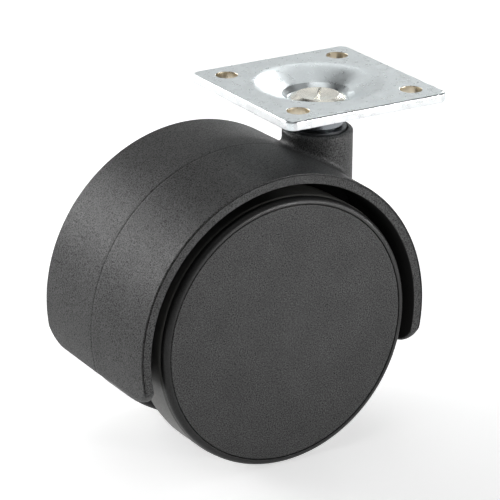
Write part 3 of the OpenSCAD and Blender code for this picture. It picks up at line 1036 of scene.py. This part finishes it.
make_top_plate()
make_kingpin()
make_hood()
make_wheel(1, "left")
make_wheel(-1, "right")


# -------------------------------------------------------------------- stage and light

LIT_CENTRE = Vector((-0.018, 0.0, -0.035))
SOFTBOX_DISTANCE = 1.0
SNOOT_DISTANCE = 0.8
SNOOT_ANGLE = 7.0
FLOOR_HALF = 3.0
FLOOR_GLOW = 0.58
HORIZON_GLOW = 0.50
SKY_GLOW = 0.03


def point(x, y, z):
    """A place given in millimetres."""
    return Vector((x, y, z)) * MM


def look(obj, target):
    """Turns a camera or light towards a place."""
    obj.rotation_euler = (target - obj.location).to_track_quat("-Z", "Y").to_euler()


def way_to(azimuth, elevation):
    """A direction from an azimuth and elevation in degrees."""
    a, e = math.radians(azimuth), math.radians(elevation)
    return Vector((math.sin(a) * math.cos(e), -math.cos(a) * math.cos(e), math.sin(e)))


def add_camera():
    """The photograph's view: a long lens, a little above the caster and to its left."""
    azimuth, elevation, roll = -31.91, 21.13, 0.43
    distance = 573.3
    target = point(-16.99, 0.0, -33.04)
    camera = bpy.data.cameras.new("camera")
    camera.sensor_width = 36.0
    camera.lens = 202.3
    camera.shift_x = 0.0084
    camera.shift_y = -0.0012
    camera.clip_start = 0.01
    camera.clip_end = 50.0
    obj = bpy.data.objects.new("camera", camera)
    bpy.context.scene.collection.objects.link(obj)
    obj.location = target + way_to(azimuth, elevation) * distance * MM
    look(obj, target)
    obj.rotation_euler.rotate_axis("Z", math.radians(roll))
    bpy.context.scene.camera = obj


def add_floor():
    """A plain white floor that glows a little, so that it stays white round the shadow."""
    z = GROUND_Z * MM
    corners = [(x * FLOOR_HALF, y * FLOOR_HALF, z) for x, y in ((-1, -1), (1, -1), (1, 1), (-1, 1))]
    mesh = bpy.data.meshes.new("floor")
    mesh.from_pydata(corners, [], [(0, 1, 2, 3)])
    floor = bpy.data.objects.new("floor", mesh)
    bpy.context.scene.collection.objects.link(floor)
    s = Shader("floor_white", (0.92, 0.92, 0.92), 0.8, Specular_IOR_Level=0.2,
               Emission_Color=(1.0, 1.0, 1.0, 1.0), Emission_Strength=FLOOR_GLOW)
    mesh.materials.append(s.material)


def add_softbox(name, azimuth, elevation, size, watts):
    """A large soft light, turned towards the caster."""
    light = bpy.data.lights.new(name, "AREA")
    light.shape = "RECTANGLE"
    light.size, light.size_y = size
    light.energy = watts
    obj = bpy.data.objects.new(name, light)
    bpy.context.scene.collection.objects.link(obj)
    obj.location = LIT_CENTRE + way_to(azimuth, elevation) * SOFTBOX_DISTANCE
    look(obj, LIT_CENTRE)


def add_snoot(name, azimuth, elevation, target, watts):
    """A small soft light with a narrow feathered beam, aimed at one place."""
    light = bpy.data.lights.new(name, "SPOT")
    light.spot_size = math.radians(SNOOT_ANGLE)
    light.spot_blend = 1.0
    light.shadow_soft_size = 0.06
    light.energy = watts
    obj = bpy.data.objects.new(name, light)
    bpy.context.scene.collection.objects.link(obj)
    obj.location = LIT_CENTRE + way_to(azimuth, elevation) * SNOOT_DISTANCE
    look(obj, target)


def add_lights():
    """Soft lights behind and beside the caster, and narrow ones for its cap and its dish."""
    add_softbox("key_left", -150.0, 17.0, (1.0, 0.3), 7.6)
    add_softbox("key_left_high", -140.0, 32.0, (0.7, 0.3), 1.2)
    add_softbox("back_low", 148.0, 18.0, (1.3, 0.35), 0.8)
    add_softbox("back_high", 148.0, 40.0, (1.0, 0.35), 1.0)
    add_softbox("top_right", 120.0, 62.0, (0.8, 0.4), 0.7)
    add_softbox("top_left", -60.0, 65.0, (0.8, 0.4), 0.6)
    add_softbox("overhead", 0.0, 88.0, (0.5, 0.5), 0.9)
    add_softbox("camera_side", -32.0, 17.0, (1.0, 0.4), 0.16)
    add_softbox("right_side", 45.0, 17.0, (1.0, 0.4), 0.5)
    add_snoot("front_cap", 30.0, 6.0, point(-8.0, -20.0, -14.0), 45.0)
    add_snoot("right_cap", 60.0, 6.0, point(-8.0, -20.0, -14.0), 21.0)
    add_snoot("dish", 129.0, 26.0, point(0.0, 0.0, 25.0), 14.0)


def add_world():
    """A pale band round the horizon, and next to nothing above it."""
    world = bpy.data.worlds.new("studio")
    bpy.context.scene.world = world
    world.use_nodes = True
    tree = world.node_tree
    background = tree.nodes["Background"]
    background.inputs["Color"].default_value = (1.0, 1.0, 1.0, 1.0)
    way = tree.nodes.new("ShaderNodeTexCoord").outputs["Generated"]
    parts = tree.nodes.new("ShaderNodeSeparateXYZ")
    fade = tree.nodes.new("ShaderNodeMapRange")
    fade.interpolation_type = "SMOOTHSTEP"
    fade.inputs["From Min"].default_value = 0.08
    fade.inputs["From Max"].default_value = 0.16
    fade.inputs["To Min"].default_value = HORIZON_GLOW
    fade.inputs["To Max"].default_value = SKY_GLOW
    tree.links.new(way, parts.inputs["Vector"])
    tree.links.new(parts.outputs["Z"], fade.inputs["Value"])
    tree.links.new(fade.outputs["Result"], background.inputs["Strength"])


add_camera()
add_floor()
add_lights()
add_world()
bpy.context.scene.view_settings.view_transform = "Standard"
